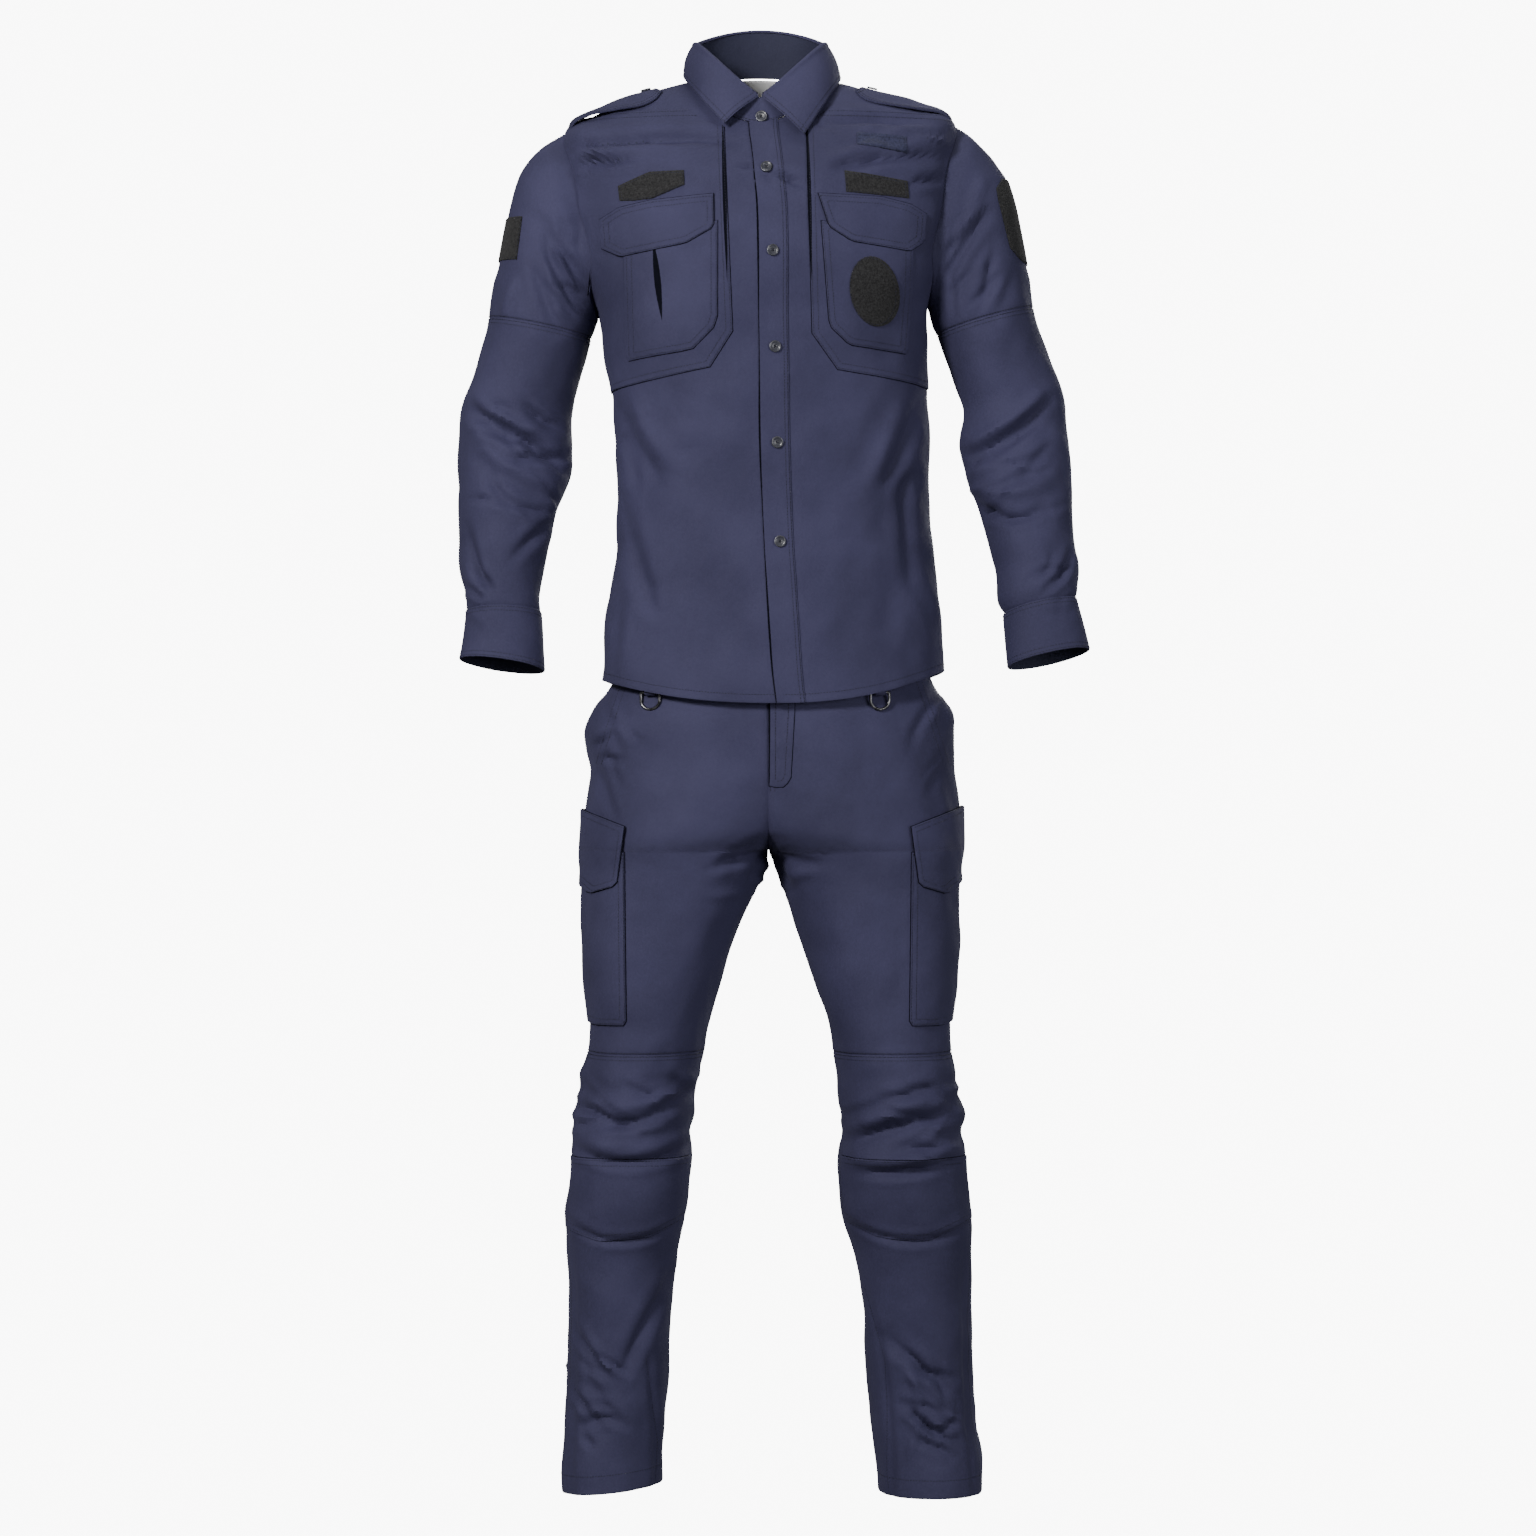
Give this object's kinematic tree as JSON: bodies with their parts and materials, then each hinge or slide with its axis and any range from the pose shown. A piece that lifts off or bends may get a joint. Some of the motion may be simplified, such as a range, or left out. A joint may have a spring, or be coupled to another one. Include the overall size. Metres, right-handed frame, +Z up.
{
  "type": "security guard uniform",
  "caption": "Long-sleeved patrol shirt with chest pockets, shoulder straps and loop patches over cargo trousers with knee patches, shaped as worn with no wearer.",
  "frame": {"origin": "the base of the neck, where the wearer's shoulders carry the shirt", "axes": "+Z up along the wearer, +X towards the wearer's left, -Y the way the chest faces"},
  "size_m": [0.6893, 0.2743, 1.6142],
  "materials": {
    "navy_twill": "matte twill weave",
    "black_loop_tape": "fuzzy loop tape",
    "button_plastic": "satin",
    "ring_metal": "gunmetal, polished",
    "label_satin": "satin"
  },
  "bodies": {
    "garment": {"arm_patch_left": "black_loop_tape", "arm_patch_right": "black_loop_tape", "badge_oval": "black_loop_tape", "badge_patch": "black_loop_tape", "button_1": "button_plastic", "button_2": "button_plastic", "button_3": "button_plastic", "button_4": "button_plastic", "button_5": "button_plastic", "button_collar": "button_plastic", "cargo_flap_left": "navy_twill", "cargo_flap_right": "navy_twill", "cargo_pocket_left": "navy_twill", "cargo_pocket_right": "navy_twill", "chest_panel_left": "navy_twill", "chest_panel_right": "navy_twill", "collar_leaf": "navy_twill", "collar_stand": "navy_twill", "cuff_button_left": "button_plastic", "cuff_button_right": "button_plastic", "cuff_left": "navy_twill", "cuff_right": "navy_twill", "epaulette_button_left": "button_plastic", "epaulette_button_right": "button_plastic", "epaulette_left": "navy_twill", "epaulette_right": "navy_twill", "fly": "navy_twill", "knee_patch_left": "navy_twill", "knee_patch_right": "navy_twill", "name_patch": "black_loop_tape", "neck_label": "label_satin", "placket": "navy_twill", "pocket_flap_left": "navy_twill", "pocket_flap_right": "navy_twill", "pocket_left": "navy_twill", "pocket_right": "navy_twill", "rank_patch": "navy_twill", "ring_tab_left": "navy_twill", "ring_tab_right": "navy_twill", "shirt_back": "navy_twill", "shirt_front_left": "navy_twill", "shirt_front_right": "navy_twill", "sleeve_back_left": "navy_twill", "sleeve_back_right": "navy_twill", "sleeve_elbow_left": "navy_twill", "sleeve_elbow_right": "navy_twill", "sleeve_lower_left": "navy_twill", "sleeve_lower_right": "navy_twill", "sleeve_upper_left": "navy_twill", "sleeve_upper_right": "navy_twill", "trouser_back_left": "navy_twill", "trouser_back_right": "navy_twill", "trouser_shin_left": "navy_twill", "trouser_shin_right": "navy_twill", "trouser_thigh_left": "navy_twill", "trouser_thigh_right": "navy_twill", "waistband": "navy_twill"},
    "ring_right": {"d_ring_right": "ring_metal"},
    "ring_left": {"d_ring_left": "ring_metal"}
  },
  "joints": [
    {"name": "ring_swing_right", "type": "hinge", "parent": "garment", "child": "ring_right", "pos_m": [-0.1274, -0.08475, -0.653], "axis": [-0.891, 0.454, 0], "range_deg": [0, 35]},
    {"name": "ring_swing_left", "type": "hinge", "parent": "garment", "child": "ring_left", "pos_m": [0.1209, -0.09154, -0.653], "axis": [-0.891, -0.454, 0], "range_deg": [0, 35]}
  ]
}
